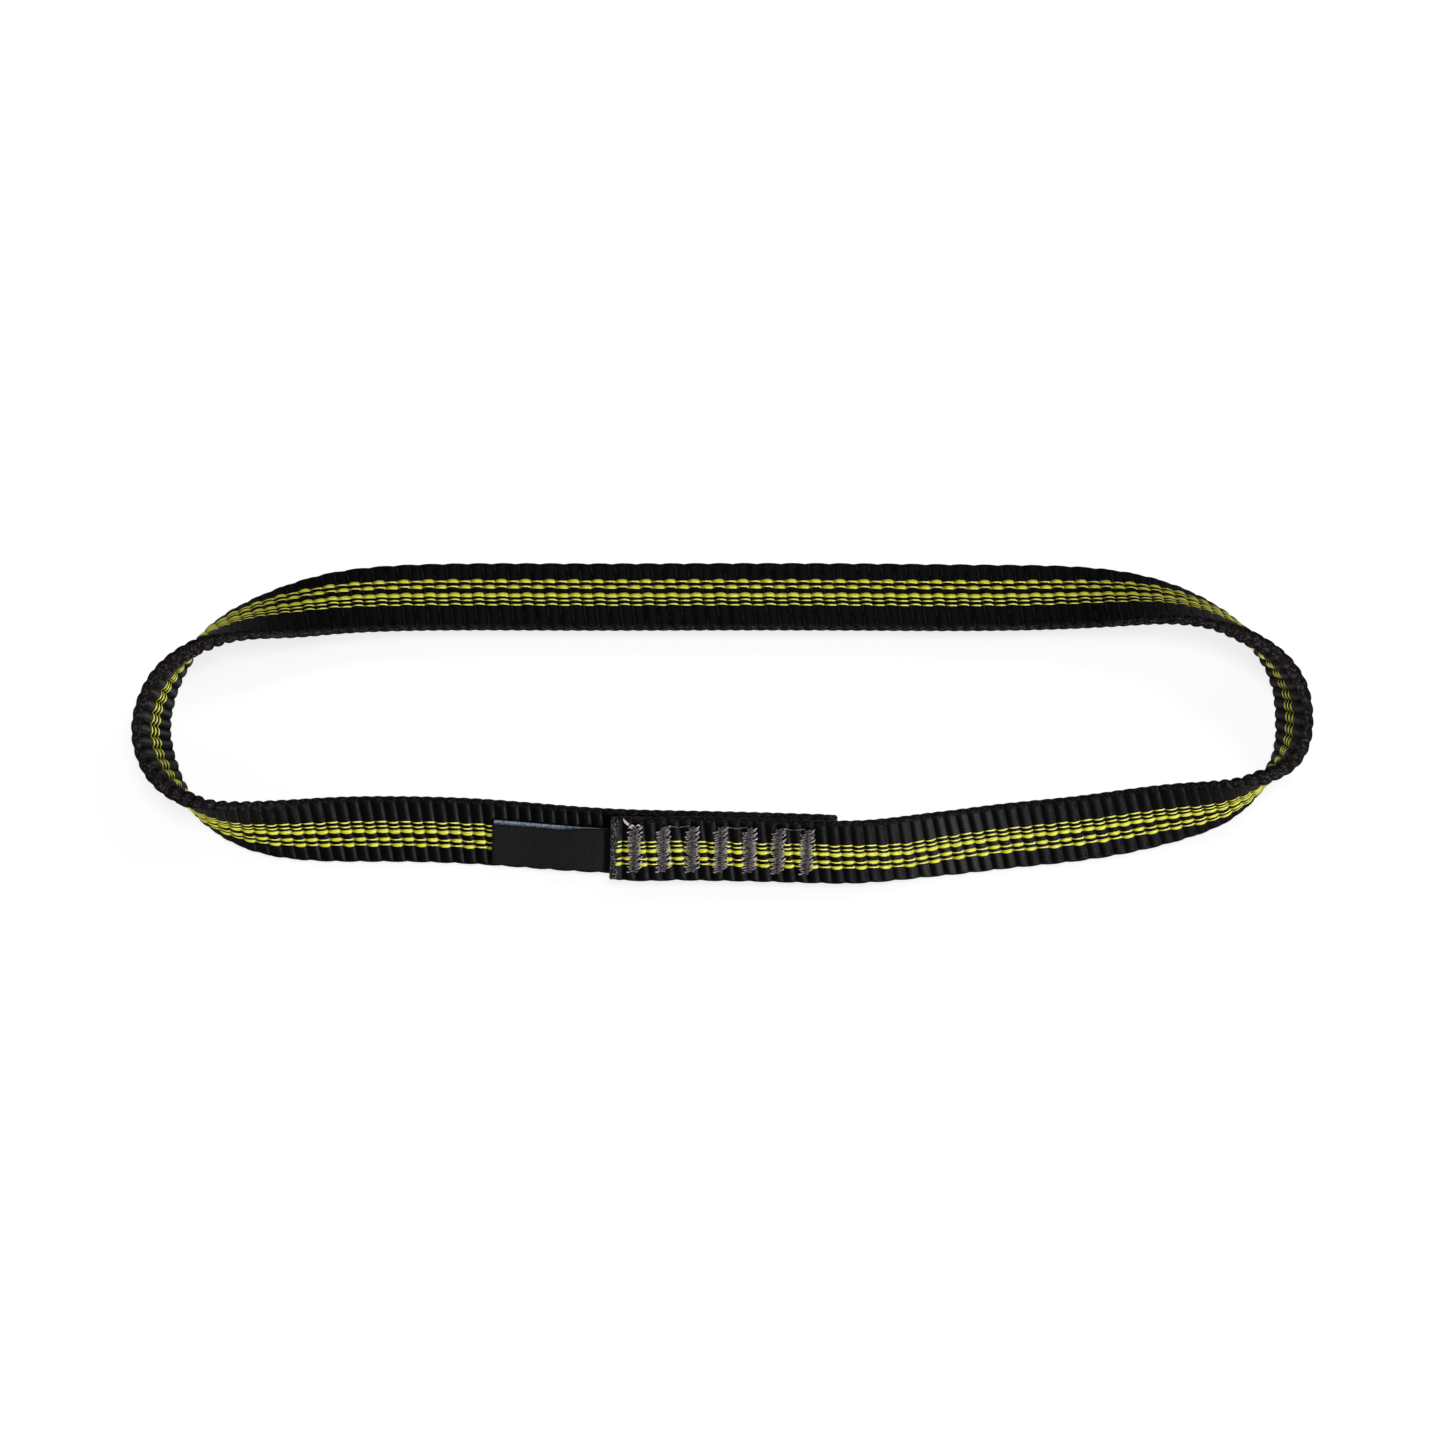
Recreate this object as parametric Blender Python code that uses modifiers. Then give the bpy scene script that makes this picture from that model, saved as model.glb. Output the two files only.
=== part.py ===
"""A climbing sling: one strap of woven webbing sewn into a loop, lying on a table.

The strap's two ends lap on the front run, where seven bar tacks sew them together. A folded
label is caught between the two layers. The long runs lean inwards, almost flat, and the two
bights stand on edge, so a carabiner would bear on the strap's inner face there.

Metres, +Z up. The origin is under the middle of the sling, on the table.

Places on the strap have three coordinates: along (from the outer layer's cut end, round the
loop), across (from the middle of the width, towards the upper edge) and height (from the
middle of the thickness, towards the outer face).
"""

import math

import bmesh
import bpy
import numpy as np
from mathutils import Matrix, Vector

# The loop, measured on the strap's centre line
LOOP_HALF_LENGTH = 0.1306
LOOP_HALF_WIDTH = 0.0290

# The webbing. Its edges are rounded, and rest on a flat pressed into the lower one
WEBBING_WIDTH = 0.0160
WEBBING_THICKNESS = 0.0025
EDGE_ROUND_SHARE = 0.36
REST_FLAT_DEPTH = 0.0003
STRAP_RINGS = 190
EDGE_STEPS = 2

# The lap, where the outer layer lies on the inner one
SPLICE_OVERLAP = 0.0517
LAYER_GAP = 0.0003
LAYER_DESCENT = 0.0240

# The bar tacks, and the thread they are sewn with
TACK_COUNT = 7
TACK_LENGTH = 0.0123
TACK_WIDTH = 0.0037
TACK_TO_LOWER_EDGE = 0.0020
FIRST_TACK_TO_OUTER_END = 0.0056
LAST_TACK_TO_INNER_END = 0.0068
THREAD_DIAMETER = 0.0005
TACK_STITCHES = 11
TURN_SHARE = 0.8

# The label: a woven tape, folded once, with both its ends in the lap
LABEL_LENGTH = 0.0272
LABEL_WIDTH = 0.0120
LABEL_THICKNESS = 0.0003
LABEL_LEAF_GAP = 0.0003
LABEL_TAB_LENGTH = 0.0080
LABEL_TO_LOWER_EDGE = 0.0006
LABEL_ROOT_SETBACK = 0.0009
LABEL_ROWS = 9
FOLD_STEPS = 6

# The gap that touching pieces keep
SEAT_GAP = 0.0003

# Overrun of a cutter past what it cuts
OVERRUN = 0.0100

# Stations round the loop, seen from above and anticlockwise, from the outer layer's cut end:
# x as a share of the half length, y as a share of the half width, the strap's lean in
# degrees (0 flat with the outer face up, 90 on edge, more leans outwards) and how far the
# lower edge is off the table as a share of the webbing's width.
STATION_SHARES = (
    (-0.196, -0.932, 27.0, 0.00),
    (-0.070, -0.946, 28.0, 0.00),
    (0.080, -0.959, 29.0, 0.00),
    (0.240, -0.976, 30.0, 0.00),
    (0.350, -0.966, 29.0, 0.00),
    (0.490, -0.896, 27.0, 0.00),
    (0.632, -0.828, 27.5, 0.00),
    (0.738, -0.752, 32.0, 0.01),
    (0.810, -0.690, 42.0, 0.04),
    (0.880, -0.610, 58.0, 0.07),
    (0.943, -0.455, 80.0, 0.08),
    (0.979, -0.310, 94.0, 0.06),
    (0.997, -0.130, 102.0, 0.02),
    (1.000, 0.060, 104.5, 0.00),
    (0.993, 0.250, 102.0, 0.02),
    (0.968, 0.470, 95.0, 0.06),
    (0.916, 0.690, 83.0, 0.08),
    (0.843, 0.865, 70.0, 0.07),
    (0.772, 0.950, 56.0, 0.04),
    (0.700, 0.983, 42.0, 0.01),
    (0.620, 0.993, 31.0, 0.00),
    (0.490, 0.992, 24.0, 0.00),
    (0.243, 0.998, 21.0, 0.00),
    (0.000, 1.000, 21.0, 0.00),
    (-0.250, 0.998, 21.0, 0.00),
    (-0.480, 0.998, 22.0, 0.00),
    (-0.600, 0.982, 25.0, 0.00),
    (-0.680, 0.948, 31.0, 0.01),
    (-0.750, 0.890, 42.0, 0.04),
    (-0.817, 0.822, 58.0, 0.07),
    (-0.884, 0.710, 74.0, 0.08),
    (-0.951, 0.474, 93.0, 0.06),
    (-0.990, 0.180, 104.0, 0.02),
    (-1.000, -0.060, 107.0, 0.00),
    (-0.982, -0.350, 102.0, 0.03),
    (-0.940, -0.590, 86.0, 0.07),
    (-0.886, -0.734, 68.0, 0.08),
    (-0.830, -0.808, 51.0, 0.05),
    (-0.764, -0.840, 37.0, 0.01),
    (-0.676, -0.842, 27.0, 0.00),
    (-0.570, -0.840, 25.0, 0.00),
    (-0.429, -0.860, 24.5, 0.00),
    (-0.300, -0.903, 25.5, 0.00),
)
SAMPLES_PER_STATION = 60

# Colours: red, green, blue
WEBBING_COLOUR = (0.020, 0.020, 0.022)
THREAD_COLOUR = (0.330, 0.310, 0.340)
LABEL_COLOUR = (0.012, 0.012, 0.014)
CLOTH_ROUGHNESS = 0.85
THREAD_ROUGHNESS = 0.60

SLING_NAME = "climbing_sling"
CUTTERS_NAME = "cutters"


def clear_scene():
    """Removes every object, so that the script can run again in the same file."""
    for leftover in list(bpy.data.objects):
        bpy.data.objects.remove(leftover)


def new_collection(name, rendered):
    collection = bpy.data.collections.new(name)
    collection.hide_render = not rendered
    bpy.context.scene.collection.children.link(collection)
    return collection


def new_material(name, colour, roughness):
    material = bpy.data.materials.new(name)
    material.use_nodes = True
    shader = material.node_tree.nodes["Principled BSDF"]
    shader.inputs["Base Color"].default_value = (*colour, 1)
    shader.inputs["Roughness"].default_value = roughness
    shader.inputs["Metallic"].default_value = 0
    return material


def smooth_rise(share):
    """0 up to a share of 0, 1 from a share of 1, and a smooth rise between."""
    share = np.clip(share, 0, 1)
    return share * share * (3 - 2 * share)


def closed_spline(points, samples_per_span):
    """Samples a closed curve through the points, with no jump in slope or curvature."""
    points = np.array(points)
    following = np.roll(points, -1, axis=0)
    spans = np.linalg.norm((following - points)[:, :2], axis=1)
    rises = (following - points) / spans[:, None]
    count = len(points)
    system = np.zeros((count, count))
    wanted = np.zeros_like(points)
    for k in range(count):
        before = spans[k - 1]
        after = spans[k]
        system[k, k - 1] = after
        system[k, k] = 2 * (before + after)
        system[k, (k + 1) % count] = before
        wanted[k] = 3 * (after * rises[k - 1] + before * rises[k])
    slopes = np.linalg.solve(system, wanted)
    next_slopes = np.roll(slopes, -1, axis=0)
    pieces = []
    for t in np.arange(samples_per_span) / samples_per_span:
        rise = t * t * (3 - 2 * t)
        start_pull = t * (1 - t) * (1 - t)
        end_pull = t * t * (t - 1)
        pieces.append(
            points * (1 - rise)
            + following * rise
            + spans[:, None] * (slopes * start_pull + next_slopes * end_pull)
        )
    return np.stack(pieces, axis=1).reshape(-1, points.shape[1])


class Strap:
    """The strap's course, as places found by along, across and height."""

    def __init__(self):
        sizes = np.array([LOOP_HALF_LENGTH, LOOP_HALF_WIDTH, 1, WEBBING_WIDTH])
        stations = np.array(STATION_SHARES) * sizes
        x, y, lean, lift = closed_spline(stations, SAMPLES_PER_STATION).T
        lean = np.radians(lean)
        plan = np.stack([x, y], axis=1)
        steps = np.linalg.norm(np.roll(plan, -1, axis=0) - plan, axis=1)
        self.along = np.concatenate([[0], np.cumsum(steps)])
        self.loop_length = self.along[-1]
        self.lean = np.append(lean, lean[0])
        ahead = np.roll(plan, -1, axis=0) - np.roll(plan, 1, axis=0)
        ahead /= np.linalg.norm(ahead, axis=1)[:, None]
        outwards = np.stack([ahead[:, 1], -ahead[:, 0], 0 * x], axis=1)
        up = np.array([0, 0, 1])
        sine = np.sin(lean)[:, None]
        cosine = np.cos(lean)[:, None]
        self.width_way = self.closed(up * sine - outwards * cosine)
        self.face_way = self.closed(outwards * sine + up * cosine)
        z = self.centre_height(lean) + lift + self.tack_lift(self.along[:-1])
        self.centre = self.closed(np.stack([x, y, z], axis=1))

    @staticmethod
    def closed(rows):
        return np.concatenate([rows, rows[:1]])

    @staticmethod
    def centre_height(lean):
        """How high the section's centre is when its lower edge is pressed into the table."""
        radius = WEBBING_THICKNESS * EDGE_ROUND_SHARE
        half_width = WEBBING_WIDTH / 2 - radius
        half_thickness = WEBBING_THICKNESS / 2 - radius
        reach = half_width * np.sin(lean) + half_thickness * np.abs(np.cos(lean))
        return reach + radius - REST_FLAT_DEPTH

    def tack_lift(self, along):
        """The lap stands on the bobbin threads, which lie between the strap and the table."""
        thread_stack = SEAT_GAP + THREAD_DIAMETER + REST_FLAT_DEPTH
        centred = (along + self.loop_length / 2) % self.loop_length - self.loop_length / 2
        before = smooth_rise((centred + LAYER_DESCENT) / LAYER_DESCENT)
        after = smooth_rise((SPLICE_OVERLAP + LAYER_DESCENT - centred) / LAYER_DESCENT)
        return thread_stack * before * after

    def look_up(self, rows, along):
        wrapped = along % self.loop_length
        columns = [np.interp(wrapped, self.along, column) for column in rows.T]
        return np.array(columns)

    def place(self, along, across, height):
        """A place on the inner layer, or on the single strap away from the lap."""
        width_way = self.look_up(self.width_way, along)
        face_way = self.look_up(self.face_way, along)
        return self.look_up(self.centre, along) + width_way * across + face_way * height

    def lean_at(self, along):
        return float(np.interp(along % self.loop_length, self.along, self.lean))


def tab_room(along):
    """How much further apart the layers are where the label's ends lie between them."""
    past_tab = (along - LABEL_TAB_LENGTH - SEAT_GAP) / LABEL_TAB_LENGTH
    return (2 * LABEL_THICKNESS + SEAT_GAP) * (1 - smooth_rise(past_tab))


def outer_layer_height(along):
    """How high the outer layer's middle is above the inner one's. It comes down past the lap."""
    stacked = WEBBING_THICKNESS + LAYER_GAP + tab_room(along)
    return stacked * (1 - smooth_rise((along - SPLICE_OVERLAP) / LAYER_DESCENT))


def link(obj, collection, material=None):
    collection.objects.link(obj)
    if material:
        obj.data.materials.append(material)
    return obj


def poly_curve(name, places, dimensions, cyclic=False):
    """A curve object whose spline runs straight from place to place."""
    data = bpy.data.curves.new(name, "CURVE")
    data.dimensions = dimensions
    spline = data.splines.new("POLY")
    spline.points.add(len(places) - 1)
    spline.use_cyclic_u = cyclic
    for spline_point, place in zip(spline.points, places):
        spline_point.co = (*place, 1)
    return bpy.data.objects.new(name, data)


def mesh_from_curve(curve_object, weld_distance):
    """A mesh object in place of a curve object, with its caps welded on."""
    name = curve_object.name
    graph = bpy.context.evaluated_depsgraph_get()
    mesh = bpy.data.meshes.new_from_object(curve_object.evaluated_get(graph))
    placing = curve_object.matrix_world.copy()
    bpy.data.objects.remove(curve_object)
    work = bmesh.new()
    work.from_mesh(mesh)
    bmesh.ops.remove_doubles(work, verts=work.verts, dist=weld_distance)
    bmesh.ops.recalc_face_normals(work, faces=work.faces)
    work.to_mesh(mesh)
    work.free()
    solid = bpy.data.objects.new(name, mesh)
    solid.matrix_world = placing
    return solid


def webbing_section(cutters):
    """The webbing's section: flat faces and rounded edges. Its +X is the lower edge."""
    radius = WEBBING_THICKNESS * EDGE_ROUND_SHARE
    half_width = WEBBING_WIDTH / 2 - radius
    half_thickness = WEBBING_THICKNESS / 2 - radius
    places = []
    for corner, (x_side, y_side) in enumerate(((1, 1), (-1, 1), (-1, -1), (1, -1))):
        for step in range(EDGE_STEPS + 1):
            angle = math.pi / 2 * (corner + step / EDGE_STEPS)
            x = half_width * x_side + radius * math.cos(angle)
            y = half_thickness * y_side + radius * math.sin(angle)
            places.append((x, y, 0))
    section = poly_curve("webbing_section", places, "2D", cyclic=True)
    section.hide_render = True
    section.display_type = "WIRE"
    return link(section, cutters)


def floor_cutter(cutters):
    """A block whose top is the table, for the flat that the strap rests on."""
    length = 2 * (LOOP_HALF_LENGTH + WEBBING_WIDTH + OVERRUN)
    width = 2 * (LOOP_HALF_WIDTH + WEBBING_WIDTH + OVERRUN)
    sizes = Vector((length, width, OVERRUN))
    mesh = bpy.data.meshes.new("floor_cutter")
    work = bmesh.new()
    bmesh.ops.create_cube(work, size=1, matrix=Matrix.Diagonal(sizes).to_4x4())
    work.to_mesh(mesh)
    work.free()
    cutter = bpy.data.objects.new("floor_cutter", mesh)
    cutter.location.z = -OVERRUN / 2
    cutter.hide_render = True
    cutter.display_type = "WIRE"
    return link(cutter, cutters)


def make_webbing(strap, parts, cutters):
    """The whole strap, from the outer layer's cut end round the loop to the inner layer's."""
    length = strap.loop_length + SPLICE_OVERLAP
    rings = np.linspace(0, length, STRAP_RINGS)
    places = []
    for along in rings:
        is_outer_end = along < strap.loop_length / 2
        height = outer_layer_height(along) if is_outer_end else 0
        places.append(strap.place(along, 0, height))
    course = poly_curve("webbing", places, "3D")
    course.data.twist_mode = "Z_UP"
    course.data.bevel_mode = "OBJECT"
    course.data.bevel_object = webbing_section(cutters)
    course.data.use_fill_caps = True
    for spline_point, along in zip(course.data.splines[0].points, rings):
        spline_point.tilt = strap.lean_at(along)
    link(course, parts)
    webbing = mesh_from_curve(course, SEAT_GAP / 10)
    link(webbing, parts, new_material("webbing", WEBBING_COLOUR, CLOTH_ROUGHNESS))
    webbing.data.shade_smooth()
    rest = webbing.modifiers.new("rest_flat", "BOOLEAN")
    rest.operation = "DIFFERENCE"
    rest.solver = "EXACT"
    rest.object = floor_cutter(cutters)
    return webbing


def stitch_places(strap, centre, height_of):
    """One zigzag of thread over a bar tack, from the lower edge of the tack to the upper."""
    half_reach = (TACK_WIDTH - THREAD_DIAMETER) / 2
    lowest = TACK_TO_LOWER_EDGE + THREAD_DIAMETER / 2 - WEBBING_WIDTH / 2
    step = (TACK_LENGTH - THREAD_DIAMETER) / (TACK_STITCHES - TURN_SHARE)
    places = []
    for stitch in range(TACK_STITCHES):
        side = 1 - 2 * (stitch % 2)
        start = lowest + step * stitch
        end = start + step * (1 - TURN_SHARE)
        for along, across in ((centre - side * half_reach, start), (centre + side * half_reach, end)):
            places.append(strap.place(along, across, height_of(along)))
    return places


def needle_thread_height(along):
    return outer_layer_height(along) + WEBBING_THICKNESS / 2 + SEAT_GAP + THREAD_DIAMETER / 2


def bobbin_thread_height(_along):
    return -(WEBBING_THICKNESS / 2 + SEAT_GAP + THREAD_DIAMETER / 2)


def make_bar_tacks(strap, parts):
    """The seven bar tacks: each has a needle thread on the outer face and a bobbin thread inside."""
    span = SPLICE_OVERLAP - FIRST_TACK_TO_OUTER_END - LAST_TACK_TO_INNER_END
    pitch = span / (TACK_COUNT - 1)
    faces = (("needle", needle_thread_height), ("bobbin", bobbin_thread_height))
    for tack in range(TACK_COUNT):
        centre = FIRST_TACK_TO_OUTER_END + tack * pitch
        for thread_name, height_of in faces:
            name = f"bar_tack_{tack + 1}_{thread_name}_thread"
            thread = poly_curve(name, stitch_places(strap, centre, height_of), "3D")
            thread.data.bevel_depth = THREAD_DIAMETER / 2
            thread.data.bevel_resolution = 1
            thread.data.use_fill_caps = True
            link(thread, parts, new_material(name, THREAD_COLOUR, THREAD_ROUGHNESS))


def tape(name, strap, course, thickness):
    """A flat tape along a course of (along, height) places, as wide as the label."""
    lower = LABEL_TO_LOWER_EDGE - WEBBING_WIDTH / 2
    work = bmesh.new()
    rows = []
    for along, height in course:
        edges = (lower, lower + LABEL_WIDTH)
        rows.append([work.verts.new(strap.place(along, across, height)) for across in edges])
    for (low, high), (next_low, next_high) in zip(rows, rows[1:]):
        work.faces.new((low, high, next_high, next_low))
    mesh = bpy.data.meshes.new(name)
    work.to_mesh(mesh)
    work.free()
    obj = bpy.data.objects.new(name, mesh)
    shell = obj.modifiers.new("thickness", "SOLIDIFY")
    shell.thickness = thickness
    shell.offset = 0
    shell.use_even_offset = True
    return obj


def label_leaf_heights():
    """The middle of the label's lower leaf and of its upper leaf."""
    lower_leaf = WEBBING_THICKNESS / 2 + SEAT_GAP + LABEL_THICKNESS / 2
    return lower_leaf, lower_leaf + LABEL_THICKNESS + LABEL_LEAF_GAP


def make_label_tab(strap, parts, material):
    """The label's two ends, pressed together between the layers of the lap."""
    height = WEBBING_THICKNESS / 2 + SEAT_GAP + LABEL_THICKNESS
    stations = np.linspace(SEAT_GAP - LABEL_ROOT_SETBACK, LABEL_TAB_LENGTH, LABEL_ROWS)
    course = [(along, height) for along in stations]
    link(tape("label_tab", strap, course, 2 * LABEL_THICKNESS), parts, material)


def make_label_flap(strap, parts, material):
    """The label's free part: two leaves and their fold, turning about the top of its root."""
    lower_leaf, upper_leaf = label_leaf_heights()
    fold_radius = (upper_leaf - lower_leaf) / 2
    fold_centre = fold_radius + LABEL_THICKNESS / 2 - LABEL_LENGTH
    stations = np.linspace(-LABEL_ROOT_SETBACK, fold_centre, LABEL_ROWS)
    course = [(along, lower_leaf) for along in stations]
    for step in range(1, FOLD_STEPS):
        angle = math.pi * step / FOLD_STEPS
        along = fold_centre - fold_radius * math.sin(angle)
        course.append((along, lower_leaf + fold_radius * (1 - math.cos(angle))))
    course += [(along, upper_leaf) for along in stations[::-1]]
    flap = tape("label_flap", strap, course, LABEL_THICKNESS)

    root = -LABEL_ROOT_SETBACK
    middle = LABEL_TO_LOWER_EDGE + LABEL_WIDTH / 2 - WEBBING_WIDTH / 2
    x_axis = Vector(strap.look_up(strap.width_way, root))
    z_axis = Vector(strap.look_up(strap.face_way, root))
    turn = Matrix((x_axis, z_axis.cross(x_axis), z_axis)).transposed().to_4x4()
    hinge_place = Vector(strap.place(root, middle, upper_leaf + LABEL_THICKNESS / 2))
    placing = Matrix.Translation(hinge_place) @ turn
    hinge = link(bpy.data.objects.new("label_hinge", None), parts)
    hinge.matrix_world = placing
    flap.data.transform(placing.inverted())
    flap.parent = hinge
    link(flap, parts, material)


def centre_on_origin(webbing, parts):
    """Moves the sling sideways, so that the middle of its box is over the origin."""
    bpy.context.view_layer.update()
    graph = bpy.context.evaluated_depsgraph_get()
    corners = np.array(webbing.evaluated_get(graph).bound_box)
    middle = (corners.min(axis=0) + corners.max(axis=0)) / 2
    for obj in parts.objects:
        if obj.parent is None:
            obj.location.x -= middle[0]
            obj.location.y -= middle[1]


def main():
    clear_scene()
    parts = new_collection(SLING_NAME, rendered=True)
    cutters = new_collection(CUTTERS_NAME, rendered=False)
    strap = Strap()
    webbing = make_webbing(strap, parts, cutters)
    make_bar_tacks(strap, parts)
    make_label_tab(strap, parts, new_material("label_tab", LABEL_COLOUR, CLOTH_ROUGHNESS))
    make_label_flap(strap, parts, new_material("label_flap", LABEL_COLOUR, CLOTH_ROUGHNESS))
    centre_on_origin(webbing, parts)
    return strap


if __name__ == "__main__":
    main()
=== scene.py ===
"""Looks for the climbing sling: ribbed webbing with lime stripes, bar tacks, a folded label.

Places on the strap have three coordinates, as in the CAD: along (from the outer layer's cut
end, round the loop), across (from the middle of the width, towards the upper edge) and height
(from the middle of the thickness, towards the outer face). Metres, +Z up.
"""

import math

import bpy
import numpy as np
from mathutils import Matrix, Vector


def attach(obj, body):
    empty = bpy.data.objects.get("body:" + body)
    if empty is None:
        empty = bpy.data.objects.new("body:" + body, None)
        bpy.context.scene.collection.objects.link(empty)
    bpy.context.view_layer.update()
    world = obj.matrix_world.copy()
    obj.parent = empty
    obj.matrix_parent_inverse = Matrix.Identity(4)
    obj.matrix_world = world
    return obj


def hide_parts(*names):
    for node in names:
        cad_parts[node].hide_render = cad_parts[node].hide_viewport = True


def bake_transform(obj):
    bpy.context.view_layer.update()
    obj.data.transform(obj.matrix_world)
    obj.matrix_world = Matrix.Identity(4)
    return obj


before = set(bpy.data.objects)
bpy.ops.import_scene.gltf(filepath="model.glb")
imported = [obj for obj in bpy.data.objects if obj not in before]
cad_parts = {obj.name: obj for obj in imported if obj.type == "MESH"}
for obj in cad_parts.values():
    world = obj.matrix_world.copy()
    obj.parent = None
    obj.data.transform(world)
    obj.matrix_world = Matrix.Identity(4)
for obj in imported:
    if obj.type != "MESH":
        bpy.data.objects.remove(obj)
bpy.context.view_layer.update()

MM = 0.001

# A name that ends in RISE holds a start and a span, and one that ends in FALL an end and a span

# The camera looks straight down from over the loop's middle
IMAGE_SIDE_PIXELS = 1445
METRES_PER_PIXEL = 0.0002308
CAMERA_HEIGHT = 0.8
CAMERA_PLACE = (0.000148, 0.000223)
SENSOR_MILLIMETRES = 36

# The loop, the webbing and the lap, as in the CAD
LOOP_HALF_LENGTH = 0.1306
LOOP_HALF_WIDTH = 0.0290
WEBBING_WIDTH = 0.0160
WEBBING_THICKNESS = 0.0025
EDGE_ROUND_SHARE = 0.36
REST_FLAT_DEPTH = 0.0003
SPLICE_OVERLAP = 0.0517
LAYER_DESCENT = 0.0240
THREAD_STACK = 0.0011
SAMPLES_PER_STATION = 60
CENTRING_SHIFT = np.array([0.000147946, 0.000108235, 0.0])
HALF_WIDTH = WEBBING_WIDTH / 2
HALF_THICKNESS = WEBBING_THICKNESS / 2

# The layers of the lap are pressed closer together than the CAD's solids
LAYER_GAP = 0.00012
TAB_THICKNESS = 0.00062

# Station: x share, y share, lean in degrees, lift share of the webbing's width
STATION_SHARES = (
    (-0.196, -0.932, 27.0, 0.00),
    (-0.070, -0.946, 28.0, 0.00),
    (0.080, -0.959, 29.0, 0.00),
    (0.240, -0.976, 30.0, 0.00),
    (0.350, -0.966, 29.0, 0.00),
    (0.490, -0.896, 27.0, 0.00),
    (0.632, -0.828, 27.5, 0.00),
    (0.738, -0.752, 32.0, 0.01),
    (0.810, -0.690, 42.0, 0.04),
    (0.880, -0.610, 58.0, 0.07),
    (0.943, -0.455, 80.0, 0.08),
    (0.979, -0.310, 94.0, 0.06),
    (0.997, -0.130, 102.0, 0.02),
    (1.000, 0.060, 104.5, 0.00),
    (0.993, 0.250, 102.0, 0.02),
    (0.968, 0.470, 95.0, 0.06),
    (0.916, 0.690, 83.0, 0.08),
    (0.843, 0.865, 70.0, 0.07),
    (0.772, 0.950, 56.0, 0.04),
    (0.700, 0.983, 42.0, 0.01),
    (0.620, 0.993, 31.0, 0.00),
    (0.490, 0.992, 24.0, 0.00),
    (0.243, 0.998, 21.0, 0.00),
    (0.000, 1.000, 21.0, 0.00),
    (-0.250, 0.998, 21.0, 0.00),
    (-0.480, 0.998, 22.0, 0.00),
    (-0.600, 0.982, 25.0, 0.00),
    (-0.680, 0.948, 31.0, 0.01),
    (-0.750, 0.890, 42.0, 0.04),
    (-0.817, 0.822, 58.0, 0.07),
    (-0.884, 0.710, 74.0, 0.08),
    (-0.951, 0.474, 93.0, 0.06),
    (-0.990, 0.180, 104.0, 0.02),
    (-1.000, -0.060, 107.0, 0.00),
    (-0.982, -0.350, 102.0, 0.03),
    (-0.940, -0.590, 86.0, 0.07),
    (-0.886, -0.734, 68.0, 0.08),
    (-0.830, -0.808, 51.0, 0.05),
    (-0.764, -0.840, 37.0, 0.01),
    (-0.676, -0.842, 27.0, 0.00),
    (-0.570, -0.840, 25.0, 0.00),
    (-0.429, -0.860, 24.5, 0.00),
    (-0.300, -0.903, 25.5, 0.00),
)

# The weave: ribs across the strap, leaning a little, with fine strands over each
RIB_COUNT = 225
RINGS_PER_RIB = 8
RIB_LEAN = 0.13
RIB_LEAN_RISE = (0, 12 * MM)
RIB_FULLNESS = 2.6
RIB_DEPTH = 0.40 * MM
RIB_DEPTH_IN_BENDS = 0.80 * MM
RIB_RISE_IN_BENDS = 0.25 * MM
STRAND_PITCH = 0.40 * MM
FACE_POINTS = 18
ARC_POINTS = 7
WEBBING_BANDS = 4

# A bend is told by its turn in radians over a step, and a twist by how far the face looks up
BEND_STEP = 4 * MM
BEND_RISE = (0.04, 0.08)
TWIST_FALL = (0.35, 0.20)
TWIST_SWELL = 0.55 * MM
TWIST_SWELL_RISE = (2.4 * MM, 2.4 * MM)

# The edges: a chain of strand bumps, one a rib above and one for two ribs below
CHAIN_HEIGHT = 0.25 * MM
UPPER_CHAIN_DEPTH = 0.08 * MM
UPPER_CHAIN_DEPTH_IN_BENDS = 0.18 * MM
UPPER_CHAIN_LEVEL = 1.2
LOWER_CHAIN_DEPTH = 0.13 * MM
LOWER_CHAIN_LEVEL = 1.1
FULLER_LOWER_EDGE = 0.20 * MM
FULLER_EDGE_RISE = (0.050, 0.030)
FULLER_EDGE_FALL = (0.180, 0.030)

# The cut ends are sealed by heat. Each lump wave: radians a millimetre, turns around, start
SEAL_LENGTH = 1.5 * MM
SEAL_FADE = 0.5 * MM
SEAL_SWELL = 0.06 * MM
SEAL_LUMPS = 0.07 * MM
LUMP_WAVES = ((2.1, 3, 0.4), (3.7, 5, 2.2), (5.3, 9, 4.1), (7.9, 14, 1.3))
LUMP_LEVEL = 1.3
END_INSET = 0.45 * MM
END_INSET_RISE = (-0.10 * MM, 0.40 * MM)
END_RING_PLACES = np.array([0.10, 0.22]) * MM

# The black floats' painted sheen: most at one place of the front run, and in the bights on each crest
SHEEN_PLAIN = 0.02
SHEEN_PEAK = 0.52
SHEEN_PEAK_PLACE = 0.079
SHEEN_PEAK_REACH = 0.013
SHEEN_RISE = (0.38, 0.25)
SHEEN_FALL = (0.99, 0.10)
SHEEN_IN_BENDS = 1.1
SHEEN_REACH_IN_BENDS = 0.28

# The stripes: across place, full width, kind, and the first rib that it is wide over
FACE_A_STRIPES = (
    (-3.44 * MM, 1.00 * MM, "dash", 0),
    (-2.06 * MM, 1.00 * MM, "dash", 1),
    (0.02 * MM, 1.10 * MM, "chain", 0),
    (1.26 * MM, 0.46 * MM, "line", 0),
    (2.36 * MM, 0.46 * MM, "line", 0),
)
FACE_B_STRIPES = (
    (-0.85 * MM, 0.37 * MM, "line", 0),
    (0.85 * MM, 0.37 * MM, "line", 0),
    (2.55 * MM, 0.37 * MM, "line", 0),
)
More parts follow.
